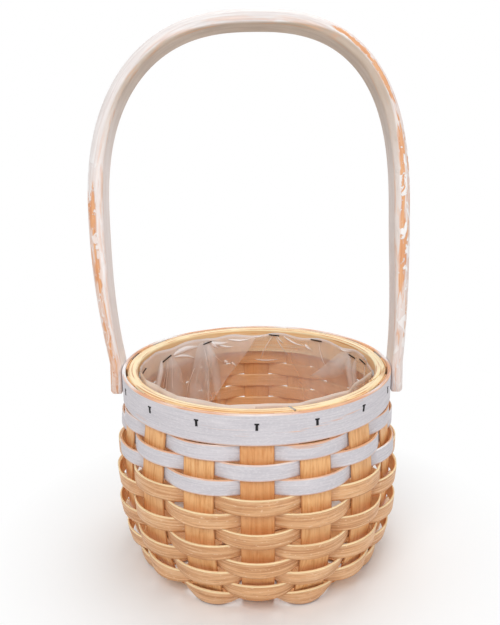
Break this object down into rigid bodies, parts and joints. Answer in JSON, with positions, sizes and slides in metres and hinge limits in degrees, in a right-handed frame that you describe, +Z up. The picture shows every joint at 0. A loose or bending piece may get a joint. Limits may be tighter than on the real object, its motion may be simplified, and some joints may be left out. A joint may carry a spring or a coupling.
{
  "type": "nantucket basket",
  "caption": "Round wood splint basket with interlaced staves and weavers, a hooped rim, a clear film liner and a bentwood swing handle pivoted at the sides of the rim.",
  "frame": {"origin": "middle of the base, on the surface that the basket stands on", "axes": "+Z up, +X to the right and +Y to the back, seen from the front; the handle's pivots lie on a line along X"},
  "size_m": [0.2596, 0.2398, 0.4405],
  "materials": {
    "whitewash": "thin matt whitewash over chip wood, with the grain and the pink-brown wood showing at the edges",
    "splint": "clear-coated tan chip wood with fine grain along the weaver and pale rounded edges",
    "stave_wood": "clear-coated orange-tan chip wood with wavy grain along the stave",
    "hoop_wood": "clear-coated pale yellow bent wood with grain round the hoop",
    "handle_wood": "whitewash worn through to orange-brown wood in streaks and patches",
    "film": "clear crinkled film",
    "steel": "zinc plated"
  },
  "bodies": {
    "basket": {"stave_strip_1": "stave_wood", "stave_strip_2": "stave_wood", "stave_strip_3": "stave_wood", "stave_strip_4": "stave_wood", "stave_strip_5": "stave_wood", "stave_strip_6": "stave_wood", "stave_strip_7": "stave_wood", "stave_strip_8": "stave_wood", "weaver_1": "whitewash", "weaver_2": "whitewash", "weaver_3": "whitewash", "weaver_4": "splint", "weaver_5": "splint", "weaver_6": "splint", "weaver_7": "splint", "weaver_8": "splint", "weaver_9": "splint", "weaver_10": "splint", "weaver_11": "splint", "rim_band": "whitewash", "inner_hoop": "hoop_wood", "liner": "film"},
    "swing_handle": {"handle": "handle_wood", "pivot_screw_left": "steel", "pivot_screw_right": "steel"}
  },
  "joints": [
    {"name": "handle_swing", "type": "hinge", "parent": "basket", "child": "swing_handle", "pos_m": [0, 0, 0.1515], "axis": [1, 0, 0], "range_deg": [-107.5, 122.5]}
  ]
}
